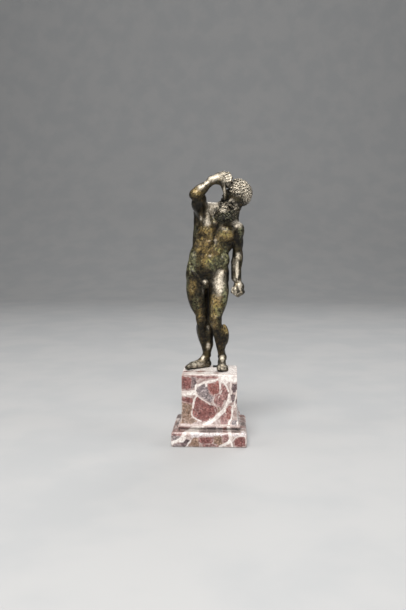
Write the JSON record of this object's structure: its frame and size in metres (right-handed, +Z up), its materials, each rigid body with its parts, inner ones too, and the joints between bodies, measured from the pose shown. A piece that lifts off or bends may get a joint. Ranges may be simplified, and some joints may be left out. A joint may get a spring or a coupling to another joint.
{
  "type": "bronze statuette on marble plinth",
  "caption": "Small cast bronze of a standing bearded nude leaning his head on his raised right hand, on a square plinth of veined red marble.",
  "frame": {"origin": "centre of the plinth's flat underside", "axes": "+Z up, the figure faces -Y, his right side is towards -X"},
  "size_m": [0.0583, 0.054, 0.1965],
  "materials": {
    "bronze": "dark brown patina with green-grey mottling, rubbed to golden bronze on the high places, satin",
    "marble": "polished red and grey-purple breccia with white veins"
  },
  "bodies": {
    "root": {"bronze_figure": "bronze", "marble_plinth": "marble"}
  },
  "joints": []
}
